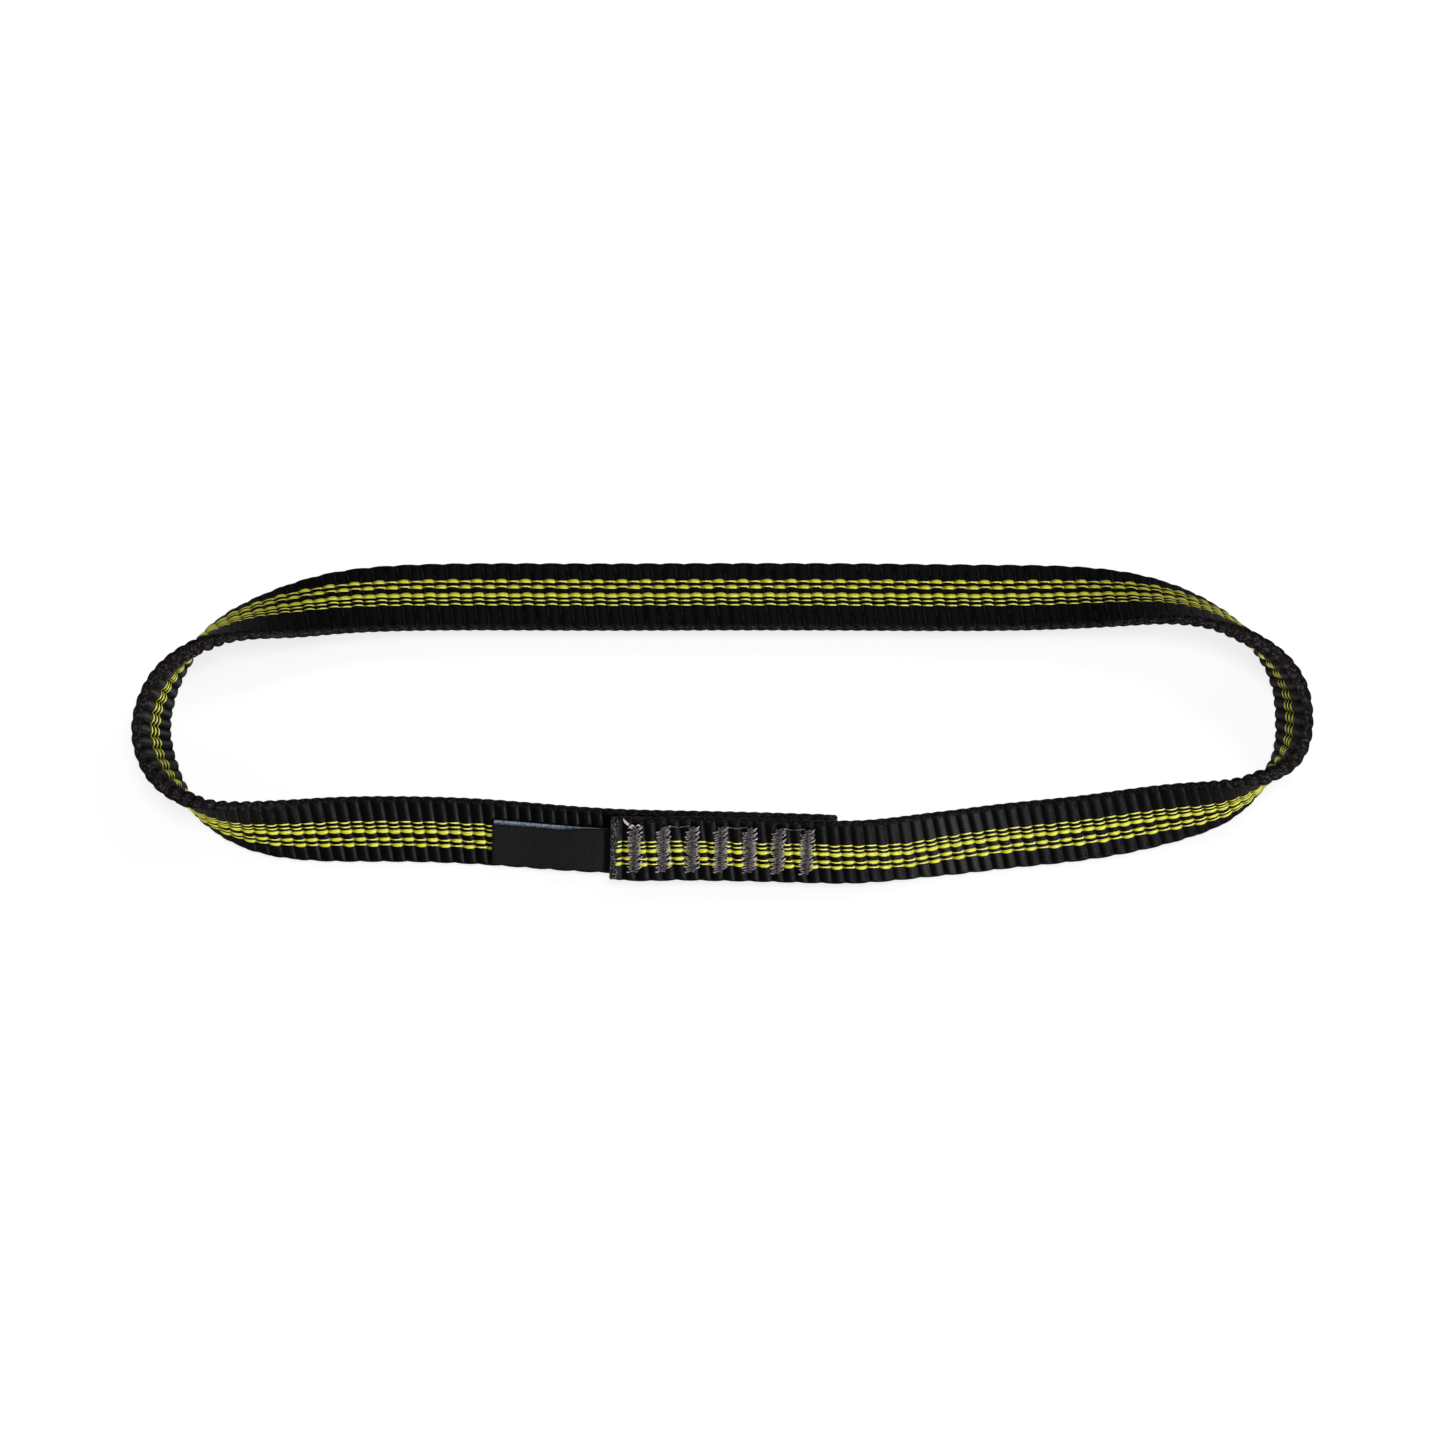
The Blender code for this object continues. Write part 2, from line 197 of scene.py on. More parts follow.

# Kind of yarn: how far it sways, and how much its wide floats lighten the painted shade in the gaps between
# them
YARN_KINDS = {"line": (0.13 * MM, 0.0), "chain": (0.10 * MM, 0.34), "dash": (0.05 * MM, 0.18)}
YARN_INTO_SEAL = 0.1 * MM
YARN_RISE = (-0.02, 0.56)
YARN_FALL = (1.0, 0.10)
INNER_YARN_FULLNESS = 0.7
SWAY_SHARPNESS = 1.6
DASH_END_RISE = (0.45, 0.30)
THIN_YARN_WIDTH = 0.42 * MM
THIN_SHARE_IN_GAPS = 0.36
WIDE_SHARE_IN_GAPS = 0.66
YARN_LIFT = 0.08 * MM
FLOAT_LIFT = 0.10 * MM
YARN_LIFT_IN_BENDS = 0.20 * MM
# The yarn's tone: painted shade in the gaps, and a painted highlight where the yarn is thin
GAP_TONE = 0.04
INNER_GAP_TONE = 0.12
HIGHLIGHT_TONE = 1.30
YARN_THICKNESS = 0.24 * MM
YARN_FLATNESS_SHARE = 0.8
YARN_POINTS = 8
YARN_BANDS = 6

# Where the rows of the outer face run nearer the lower edge: along, reach, and how far
ROW_SHIFTS = (
    (0.068, 0.008, 0.70 * MM),
    (0.148, 0.015, 1.40 * MM),
    (0.196, 0.024, 1.40 * MM),
    (0.428, 0.028, 1.40 * MM),
    (0.476, 0.016, 1.40 * MM),
)

# The bar tacks
TACK_COUNT = 7
TACK_LENGTH = 0.0124
TACK_WIDTH = 0.0037
TACK_TO_LOWER_EDGE = 0.0023
FIRST_TACK_TO_OUTER_END = 0.0056
LAST_TACK_TO_INNER_END = 0.0068
TACK_TEETH = 9
TACK_SLANT = 0.0016
THREAD_DIAMETER = 0.38 * MM
THREAD_POINTS = 6
TACK_BANDS = 10
TACK_PRESS = 0.20 * MM
TACK_PRESS_REACH = 1.9 * MM
TACK_PRESS_FADE = 1.0 * MM
TACK_SEED = 7

# A tack's three courses of stitches: reach share, and how many threads high they stand
UNDER_COURSE = (0.80, 0.70)
OVER_COURSE = (1.0, 1.10)
MIDDLE_COURSE = (0.34, 1.45)
MIDDLE_SLANT = 0.45 * MM
STITCH_JITTER = np.array([0.16, 0.09]) * MM
STITCH_SHARES = (0, 0.05, 0.13, 0.3, 0.5, 0.7, 0.87, 0.95)
STITCH_SQUARENESS = 9
HOLE_DEPTH = 0.20 * MM
HIDDEN_DEPTH = 0.40 * MM
# Painted light on the stitches: dark in the tack's middle as shade, light towards its sides as highlights
MIDDLE_TONE = 0.07
TONE_GROWTH = 1.7

# The first tack's cut tails, in millimetres from its top: along, across, height over the face
TAIL_COURSES = (
    ((-0.2, -0.6, 0.1), (-1.0, 0.2, 0.35), (-1.9, 1.0, 0.35), (-2.7, 1.75, 0.22)),
    ((-0.6, -0.8, 0.1), (-1.3, -0.1, 0.35), (-2.0, 0.6, 0.35), (-2.6, 1.3, 0.22)),
    ((0.3, -0.9, 0.1), (-0.2, -0.1, 0.40), (-0.6, 0.5, 0.45), (-1.0, 0.0, 0.40), (-1.4, -0.7, 0.1)),
    ((-0.1, -0.7, 0.1), (0.5, 0.2, 0.40), (1.0, 0.5, 0.30), (1.1, -0.2, 0.1)),
)
TAIL_DIAMETER = 0.28 * MM
TAIL_TONE = 1.0

# The fine thread from each of these tacks to the next
LINKED_TACKS = (2, 4, 6)
LINK_SHARES = np.linspace(0.1, 0.9, 9)
LINK_DIAMETER = 0.20 * MM
LINK_TO_TOP = 0.3 * MM
LINK_SWAY = 0.15 * MM
LINK_SWAY_RATE = 9
LINK_HEIGHT = 0.02 * MM
LINK_TONE = 0.2
CORNER_CUTS = 3
CORNER_SHARE = 0.25

# The label
LABEL_LENGTH = 0.0272
LABEL_WIDTH = 0.0111
LABEL_THICKNESS = 0.28 * MM
LABEL_TAB_LENGTH = 0.0080
LABEL_TO_LOWER_EDGE = 0.0009
LABEL_CLEARANCE = 0.05 * MM
TAB_TRIM = 0.4 * MM
FOLD_HOLLOW = 0.16 * MM
LEAF_STEPS = 70
FOLD_STEPS = 8
LEAF_PRESS_RISE = (-3.5 * MM, 3.0 * MM)
UPPER_LEAF_SPAN = 6
NARROWING = 0.85 * MM
NARROWING_RISE = (-12.5 * MM, 8.5 * MM)
ROOT_FADE = 6 * MM
LEAF_PUFF = 0.10 * MM
LEAF_WAVE = 0.05 * MM
LEAF_WAVE_REACH = 2.6 * MM
LABEL_POINTS = 25
LABEL_BANDS = 3
LABEL_MAP_STEP = 1.02

# Places along the strap, at this height over the label's middle, which main works out and does not use
LABEL_BEND_START = -0.2 * MM
LABEL_BEND_END = -2.6 * MM
LABEL_BEND_HEIGHT = 2.2 * MM

# The map for baking: bands of the tubes' walls, and above them a row of discs for their caps
BAND_MARGIN = 0.04
SIDE_MARGIN = 0.002
WALLS_TOP = 0.97
CAP_ROW = 0.985
CAP_RADIUS = 0.004
CAP_PITCH = 0.01
BANDS_WITH_OWN_CAPS = 40

# Colours. A pair goes from dark to light
# The black floats run from painted shade in the rib gaps to their crests
BLACK_FLOAT = ((0.0003, 0.0003, 0.0003, 1), (0.0016, 0.0015, 0.0016, 1))
# Painted highlight
BLACK_GLINT = (0.036, 0.036, 0.039, 1)
# Painted sheen
BLACK_SHEEN = (0.075, 0.075, 0.079, 1)
MELTED_END = ((0.010, 0.010, 0.010, 1), (0.180, 0.180, 0.186, 1))
# The edges' braid, dark brown, with light flecks that are painted glints
EDGE_BRAID_AND_GLINT = ((0.0085, 0.0052, 0.0042, 1), (0.050, 0.047, 0.050, 1))
# The lime in painted shade and painted light, its painted highlight streaks and its pale painted highlight
LIME_IN_SHADE = ((0.012, 0.009, 0.001, 1), (0.070, 0.058, 0.002, 1))
LIME_IN_LIGHT = ((0.360, 0.330, 0.003, 1), (0.800, 0.800, 0.020, 1))
LIME_HIGHLIGHT_STREAK = (0.940, 0.930, 0.160, 1)
LIME_PAINTED_HIGHLIGHT = (0.920, 0.910, 0.190, 1)
LIME_SHEEN = (1.0, 0.98, 0.45, 1)
# The thread from painted shade to a painted highlight, near white
THREAD_MAUVE = ((0.008, 0.004, 0.006, 1), (0.985, 0.900, 0.945, 1))
LABEL_BLACK = ((0.0028, 0.0029, 0.0034, 1), (0.0125, 0.0128, 0.0145, 1))
LABEL_REVERSE = ((0.050, 0.075, 0.115, 1), (0.420, 0.470, 0.540, 1))
WHITE = (1, 1, 1, 1)

# The studio. Each lamp: name, place, size, watts
LAMPS = (
    ("key_lamp", (0.74, -1.03, 0.81), (0.40, 0.40), 18.0),
    ("back_lamp", (0.72, 0.93, 0.93), (0.30, 0.30), 3.0),
    ("top_lamp", (0.1, 0.27, 1.36), (0.4, 0.36), 5.0),
    ("left_lamp", (-1.3, 0.1, 0.45), (0.5, 0.5), 2.8),
)
WORLD_STRENGTH = 0.10
FLOOR_HALF_SIDE = 10.0
FLOOR_DROP = 0.00005
FLOOR_GREY = (0.50, 0.50, 0.50, 1)
FLOOR_SLOPE = (0.0, 0.6, 0.8)
FLOOR_GLOW = 0.80
FLOOR_GLOW_IN_MIRRORS = 0.06


def smooth_rise(share):
    """0 up to a share of 0, 1 from a share of 1, and a smooth rise between."""
    share = np.clip(share, 0, 1)
    return share * share * (3 - 2 * share)


def rise(value, start, span):
    return smooth_rise((value - start) / span)


def fall(value, end, span):
    return smooth_rise((end - value) / span)


def between(first, second, share):
    return first + (second - first) * share


def hump(value, centre, reach):
    return np.exp(-(((value - centre) / reach) ** 2))


def running_length(points):
    """How far along its course each point is, in millimetres."""
    steps = np.linalg.norm(np.diff(points, axis=0), axis=1)
    return np.concatenate([[0], np.cumsum(steps)]) / MM


def closed_spline(points, samples_per_span):
    """Samples a closed curve through the points, with no jump in slope or curvature."""
    points = np.array(points)
    following = np.roll(points, -1, axis=0)
    spans = np.linalg.norm((following - points)[:, :2], axis=1)
    rises = (following - points) / spans[:, None]
    count = len(points)
    system = np.zeros((count, count))
    wanted = np.zeros_like(points)
    for k in range(count):
        before = spans[k - 1]
        after = spans[k]
        system[k, k - 1] = after
        system[k, k] = 2 * (before + after)
        system[k, (k + 1) % count] = before
        wanted[k] = 3 * (after * rises[k - 1] + before * rises[k])
    slopes = np.linalg.solve(system, wanted)
    next_slopes = np.roll(slopes, -1, axis=0)
    pieces = []
    for part in np.arange(samples_per_span) / samples_per_span:
        share = part * part * (3 - 2 * part)
        start_pull = part * (1 - part) * (1 - part)
        end_pull = part * part * (part - 1)
        pieces.append(
            points * (1 - share)
            + following * share
            + spans[:, None] * (slopes * start_pull + next_slopes * end_pull)
        )
    return np.stack(pieces, axis=1).reshape(-1, points.shape[1])


class Strap:
    """The strap's course, as places found by along, across and height."""

    def __init__(self):
        sizes = np.array([LOOP_HALF_LENGTH, LOOP_HALF_WIDTH, 1, WEBBING_WIDTH])
        stations = np.array(STATION_SHARES) * sizes
        x, y, lean, lift = closed_spline(stations, SAMPLES_PER_STATION).T
        lean = np.radians(lean)
        plan = np.stack([x, y], axis=1)
        steps = np.linalg.norm(np.roll(plan, -1, axis=0) - plan, axis=1)
        self.along = np.concatenate([[0], np.cumsum(steps)])
        self.loop_length = self.along[-1]
        ahead = np.roll(plan, -1, axis=0) - np.roll(plan, 1, axis=0)
        ahead /= np.linalg.norm(ahead, axis=1)[:, None]
        outwards = np.stack([ahead[:, 1], -ahead[:, 0], 0 * x], axis=1)
        up = np.array([0, 0, 1])
        sine = np.sin(lean)[:, None]
        cosine = np.cos(lean)[:, None]
        self.width_way = self.closed(up * sine - outwards * cosine)
        self.face_way = self.closed(outwards * sine + up * cosine)
        z = self.centre_height(lean) + lift + self.tack_lift(self.along[:-1])
        self.centre = self.closed(np.stack([x, y, z], axis=1))

    @staticmethod
    def closed(rows):
        return np.concatenate([rows, rows[:1]])

    @staticmethod
    def centre_height(lean):
        """How high the strap's middle is when its lower edge is on the table."""
        radius = WEBBING_THICKNESS * EDGE_ROUND_SHARE
        half_width = HALF_WIDTH - radius
        half_thickness = HALF_THICKNESS - radius
        reach = half_width * np.sin(lean) + half_thickness * np.abs(np.cos(lean))
        return reach + radius - REST_FLAT_DEPTH

    def tack_lift(self, along):
        """The lap stands on the threads under it, as the CAD's does."""
        centred = (along + self.loop_length / 2) % self.loop_length - self.loop_length / 2
        before = rise(centred, -LAYER_DESCENT, LAYER_DESCENT)
        after = fall(centred, SPLICE_OVERLAP + LAYER_DESCENT, LAYER_DESCENT)
        return THREAD_STACK * before * after

    def look_up(self, rows, along):
        wrapped = along % self.loop_length
        return np.stack([np.interp(wrapped, self.along, column) for column in rows.T], axis=-1)

    def place(self, along, across, height):
        along, across, height = np.broadcast_arrays(along, across, height)
        width_way = self.look_up(self.width_way, along) * across[..., None]
        face_way = self.look_up(self.face_way, along) * height[..., None]
        return self.look_up(self.centre, along) + width_way + face_way + CENTRING_SHIFT


STRAP = Strap()
STRAP_LENGTH = STRAP.loop_length + SPLICE_OVERLAP
RIB_PITCH = STRAP_LENGTH / RIB_COUNT


def tack_centres():
    span = SPLICE_OVERLAP - FIRST_TACK_TO_OUTER_END - LAST_TACK_TO_INNER_END
    return FIRST_TACK_TO_OUTER_END + span * np.arange(TACK_COUNT) / (TACK_COUNT - 1)


def layer_height(along):
    """How high the layer's middle is: the outer layer lies on the inner one in the lap."""
    tab = TAB_THICKNESS * (1 - rise(along, LABEL_TAB_LENGTH, LABEL_TAB_LENGTH))
    stacked = WEBBING_THICKNESS + LAYER_GAP + tab
    outer = stacked * (1 - rise(along, SPLICE_OVERLAP, LAYER_DESCENT))
    return np.where(along < STRAP.loop_length / 2, outer, 0)


def tack_press(along, across, side):
    """How far the tacks press the outer layer's outer face or the inner layer's inner face in."""
    start = 0 if side > 0 else STRAP.loop_length
    press = 0
    for centre in tack_centres():
        press = press + hump(along - start, centre, TACK_PRESS_REACH)
    low = TACK_TO_LOWER_EDGE - HALF_WIDTH
    high = low + TACK_LENGTH
    window = rise(across, low - TACK_PRESS_FADE, TACK_PRESS_FADE)
    window = window * fall(across, high + TACK_PRESS_FADE, TACK_PRESS_FADE)
    return TACK_PRESS * press * window


def end_distance(along):
    """How far a place is from the nearer cut end."""
    return np.minimum(along, STRAP_LENGTH - along)


def rib_lean(along):
    """The ribs stand straight at the cut ends and lean elsewhere."""
    return RIB_LEAN * rise(end_distance(along), *RIB_LEAN_RISE)


def rib_height(phase):
    """A rib rises from its start, at 0, to its crest and drops again, steeply at both ends."""
    return 1 - np.abs(2 * phase - 1) ** RIB_FULLNESS


def bend_share(along):
    """0 on the straight runs and 1 in the bights."""
    back, centre, ahead = (
        STRAP.look_up(STRAP.centre, along + steps * BEND_STEP)[..., :2] for steps in (-1.5, -0.5, 0.5)
    )
    first = centre - back
    second = ahead - centre
    turn = first[..., 0] * second[..., 1] - first[..., 1] * second[..., 0]
    angle = turn / np.linalg.norm(first, axis=-1) / np.linalg.norm(second, axis=-1)
    return rise(angle, *BEND_RISE)


def twist_share(along):
    """1 where the strap stands on its edge in a twist, 0 where it lies flatter."""
    upright = np.abs(STRAP.look_up(STRAP.face_way, along)[..., 2])
    return fall(upright, *TWIST_FALL)


def rib_relief(along, phase, side):
    """The ribs' height over the plain face: they stand out more on the inner face of a bend."""
    bend = bend_share(along) * (side < 0)
    depth = between(RIB_DEPTH, RIB_DEPTH_IN_BENDS, bend)
    return RIB_RISE_IN_BENDS * bend - depth * (1 - rib_height(phase))


def row_shift(along):
    """How far the rows of the outer face are moved towards the lower edge."""
    return sum(most * hump(along, centre, reach) for centre, reach, most in ROW_SHIFTS)


def lit_phase(along, phase):
    """The phase as seen along X: every rib and float is painted brighter at its end towards +X, as lit from
    that side.
    """
    ahead = STRAP.look_up(STRAP.centre, along + MM) - STRAP.look_up(STRAP.centre, along - MM)
    way = ahead[..., 0] / np.linalg.norm(ahead, axis=-1)
    return 0.5 + way * (phase - 0.5)


def sheen_share(along, phase, side):
    """Where the black floats are painted as catching the light, on the outer face most near the lap's end."""
    outer = SHEEN_PLAIN + SHEEN_PEAK * hump(along, SHEEN_PEAK_PLACE, SHEEN_PEAK_REACH)
    lit = lit_phase(along, phase)
    outer = outer * rise(lit, *SHEEN_RISE) * fall(lit, *SHEEN_FALL)
    crest = smooth_rise(1 - np.abs(phase - 0.5) / SHEEN_REACH_IN_BENDS)
    inner = SHEEN_IN_BENDS * bend_share(along) * crest
    return np.where(side > 0, outer, inner * (side < 0))


def lumps(along, around):
    """A melted surface's lumps, a little over one either way."""
    waves = 0
    for k, (pull, turn, start) in enumerate(LUMP_WAVES):
        waves = waves + np.sin(pull * along / MM + turn * around + start) / (k + 1.5)
    return waves / LUMP_LEVEL


def edge_chain(along, rib, around, is_upper):
    """The bumps of the strands that turn round the edges."""
    lag = around / math.pi * 0.5
    depth = between(UPPER_CHAIN_DEPTH, UPPER_CHAIN_DEPTH_IN_BENDS, bend_share(along))
    upper = depth * (2 * np.abs(np.sin(math.pi * (rib + lag))) - UPPER_CHAIN_LEVEL)
    lower = LOWER_CHAIN_DEPTH * (2 * np.abs(np.sin(math.pi * (rib / 2 + lag))) - LOWER_CHAIN_LEVEL)
    fuller = rise(along, *FULLER_EDGE_RISE) * fall(along, *FULLER_EDGE_FALL)
    return CHAIN_HEIGHT + np.where(is_upper, upper, lower + FULLER_LOWER_EDGE * fuller)


def section():
    """The webbing's section as across, height, outward direction, edge share and arc angle."""
    radius = WEBBING_THICKNESS * EDGE_ROUND_SHARE
    flat = HALF_WIDTH - radius
    rows = []
    for across in np.linspace(-flat, flat, FACE_POINTS):
        rows.append((across, HALF_THICKNESS, 0, 1, 0, 90))
    for side, angles in ((1, (90, -90)), (-1, (-90, -270))):
        for angle in np.linspace(*angles, ARC_POINTS + 2)[1:-1]:
            turn = math.radians(angle)
            way = np.array([math.cos(turn) / radius, math.sin(turn) / HALF_THICKNESS])
            way /= np.linalg.norm(way)
            across = side * flat + radius * math.cos(turn)
            share = abs(math.cos(turn))
            rows.append((across, HALF_THICKNESS * math.sin(turn), *way, share, angle))
        if side > 0:
            for across in np.linspace(flat, -flat, FACE_POINTS):
                rows.append((across, -HALF_THICKNESS, 0, -1, 0, -90))
    return np.array(rows)


class Maker:
    """Gathers closed grids of faces into one mesh, with a map for the weave and one for baking."""

    def __init__(self, bands):
        self.bands = bands
        self.used_bands = 0
        self.count = 0
        self.places = []
        self.faces = []
        self.weave = []
        self.bake = []
        self.values = []

    def tube(self, rings, along, around, bands, values=0.0):
        """Adds a closed tube. rings is (ring, point, 3). around has one more value than points."""
        ring_count, point_count, _ = rings.shape
        shape = (ring_count - 1, point_count)
        flat = rings.reshape(-1, 3)
        ring = np.arange(ring_count - 1)[:, None]
        point = np.arange(point_count)
        following = (point + 1) % point_count
        corners = (
            (ring, point, point),
            (ring, following, point + 1),
            (ring + 1, following, point + 1),
            (ring + 1, point, point),
        )
        per_band = math.ceil((ring_count - 1) / bands)
        band = ring // per_band
        faces = []
        weave = []
        bake = []
        for at_ring, at_point, at_value in corners:
            faces.append(np.broadcast_to(at_ring * point_count + at_point, shape))
            weave.append(self.pairs(along[at_ring], around[at_value], shape))
            share = (around[at_value] - around[0]) / (around[-1] - around[0])
            map_along = between(SIDE_MARGIN, 1 - SIDE_MARGIN, (at_ring - band * per_band) / per_band)
            map_across = self.used_bands + band + between(BAND_MARGIN, 1 - BAND_MARGIN, share)
            bake.append(self.pairs(map_along, map_across / self.bands * WALLS_TOP, shape))
        faces = np.stack(faces, axis=-1).reshape(-1, 4)
        weave = np.stack(weave, axis=2).reshape(-1, 4, 2)
        bake = np.stack(bake, axis=2).reshape(-1, 4, 2)
        first, second, third, fourth = (flat[faces[:, k]] - flat.mean(axis=0) for k in range(4))
        volume = np.einsum("ij,ij->i", np.cross(first, second), third).sum()
        volume += np.einsum("ij,ij->i", np.cross(first, third), fourth).sum()
        inside_out = volume < 0
        if inside_out:
            faces = faces[:, ::-1]
            weave = weave[:, ::-1]
            bake = bake[:, ::-1]
        start = self.count
        self.places.append(flat)
        self.count += len(flat)
        self.faces += (faces + start).tolist()
        self.weave.append(weave.reshape(-1, 2))
        self.bake.append(bake.reshape(-1, 2))
        self.values.append(np.broadcast_to(values, rings.shape[:2]).reshape(-1))
        for end, ring_index in ((0, 0), (1, ring_count - 1)):
            first_point = start + ring_index * point_count
            is_reversed = bool(end) == inside_out
            self.cap(rings[ring_index], first_point, along[ring_index], end, is_reversed)
        self.used_bands += bands

    @staticmethod
    def pairs(first, second, shape):
        return np.stack([np.broadcast_to(first, shape), np.broadcast_to(second, shape)], axis=-1)

    def cap(self, ring_places, first_point, along, end, is_reversed):
        """Closes one end of a tube with a fan of triangles. Both caps take its first value."""
        point_count = len(ring_places)
        centre = self.count
        self.places.append(ring_places.mean(axis=0)[None])
        self.values.append(self.values[-1][:1])
        self.count += 1
        turn = 2 * math.pi * np.arange(point_count + 1) / point_count
        spot = np.array([CAP_PITCH * (1 + 2 * (self.used_bands % BANDS_WITH_OWN_CAPS) + end), CAP_ROW])
        disc = spot + CAP_RADIUS * np.stack([np.cos(turn), np.sin(turn)], axis=1)
        for k in range(point_count):
            face = [first_point + k, first_point + (k + 1) % point_count, centre]
            places = [disc[k], disc[k + 1], spot]
            if is_reversed:
                face.reverse()
                places.reverse()
            self.faces.append(face)
            self.weave.append(np.array([[along, 0.5]] * 3))
            self.bake.append(np.array(places))

    def build(self, name, material, value_name=None):
        mesh = bpy.data.meshes.new(name)
        places = np.concatenate(self.places)
        mesh.from_pydata(places.tolist(), [], self.faces)
        for map_name, rows in (("weave", self.weave), ("OFBake", self.bake)):
            layer = mesh.uv_layers.new(name=map_name)
            layer.data.foreach_set("uv", np.concatenate(rows).astype(np.float32).reshape(-1))
        mesh.uv_layers.active = mesh.uv_layers["weave"]
        mesh.uv_layers["weave"].active_render = True
        if value_name:
            add_values(mesh, value_name, np.concatenate(self.values))
        mesh.shade_smooth()
        mesh.materials.append(material)
        return add_object(name, mesh)


def add_values(mesh, name, values):
    """Gives each point of the mesh a value that its material reads by name."""
    layer = mesh.attributes.new(name, "FLOAT", "POINT")
    layer.data.foreach_set("value", values.astype(np.float32))


def add_object(name, data):
    made = bpy.data.objects.new(name, data)
    bpy.context.scene.collection.objects.link(made)
    return made


class Look:
    """A material whose nodes are made by short calls."""

    def __init__(self, name):
        self.material = bpy.data.materials.new(name)
        self.material.use_nodes = True
        self.tree = self.material.node_tree
        self.shader = self.tree.nodes["Principled BSDF"]

    def node(self, kind, **settings):
        made = self.tree.nodes.new(kind)
        for key, value in settings.items():
            setattr(made, key, value)
        return made

    def feed(self, socket, source):
        if isinstance(source, bpy.types.NodeSocket):
            self.tree.links.new(source, socket)
        else:
            socket.default_value = source

    def maths(self, operation, *sources):
        made = self.node("ShaderNodeMath", operation=operation)
        for socket, source in zip(made.inputs, sources):
            self.feed(socket, source)
        return made.outputs[0]

    def times(self, first, *others):
        for other in others:
            first = self.maths("MULTIPLY", first, other)
        return first

    def plus(self, first, second):
        return self.maths("ADD", first, second)

    def sine(self, turn):
        return self.maths("SINE", turn)

    def ramp(self, value, low, high, to_low=0.0, to_high=1.0):
        made = self.node("ShaderNodeMapRange", interpolation_type="SMOOTHSTEP")
        for socket, source in zip(made.inputs, (value, low, high, to_low, to_high)):
            self.feed(socket, source)
        return made.outputs[0]

    def mix(self, share, first, second):
        made = self.node("ShaderNodeMix", data_type="RGBA")
        self.feed(made.inputs[0], share)
        self.feed(made.inputs[6], first)
        self.feed(made.inputs[7], second)
        return made.outputs[2]

    def noise(self, scale, detail=2.0, vector=None):
        """Noise in the object's own space, or over the vector that is given."""
        if vector is None:
            vector = self.node("ShaderNodeTexCoord").outputs["Object"]
        made = self.node("ShaderNodeTexNoise")
        self.feed(made.inputs["Vector"], vector)
        made.inputs["Scale"].default_value = scale
        made.inputs["Detail"].default_value = detail
        return made.outputs["Fac"]

    def weave(self):
        """The weave map's two values."""
        made = self.node("ShaderNodeSeparateXYZ")
        self.feed(made.inputs[0], self.node("ShaderNodeUVMap", uv_map="weave").outputs[0])
        return made.outputs[0], made.outputs[1]

    def value(self, name):
        return self.node("ShaderNodeAttribute", attribute_name=name).outputs["Fac"]

    def bump(self, height, distance, strength=1.0):
        made = self.node("ShaderNodeBump")
        made.inputs["Strength"].default_value = strength
        made.inputs["Distance"].default_value = distance
        self.feed(made.inputs["Height"], height)
        self.feed(self.shader.inputs["Normal"], made.outputs[0])

    def finish(self, colour, roughness, **sockets):
        self.feed(self.shader.inputs["Base Color"], colour)
        self.feed(self.shader.inputs["Roughness"], roughness)
        for name, value in sockets.items():
            self.shader.inputs[name.replace("_", " ").title().replace("Ior", "IOR")].default_value = value
        return self.material


def float_shape(look, rib, start, strand):
    """Floats over every second rib: a long lens each, side by side at the strand's pitch."""
    half_length = 0.62
    lens_squareness = 3.0
    ridge_breadth = 0.6
    ridge_share = 0.45
    from_centre = look.maths("PINGPONG", look.plus(rib, start), 1.0)
    share = look.maths("POWER", look.maths("DIVIDE", from_centre, half_length), lens_squareness)
    lens = look.maths("SQRT", look.maths("MAXIMUM", look.maths("SUBTRACT", 1.0, share), 0.0))
    turn = look.times(look.plus(strand, 0.5 * start), math.pi)
    ridge = look.maths("POWER", look.maths("ABSOLUTE", look.maths("COSINE", turn)), ridge_breadth)
    return look.times(lens, look.plus(1 - ridge_share, look.times(ridge, ridge_share)))


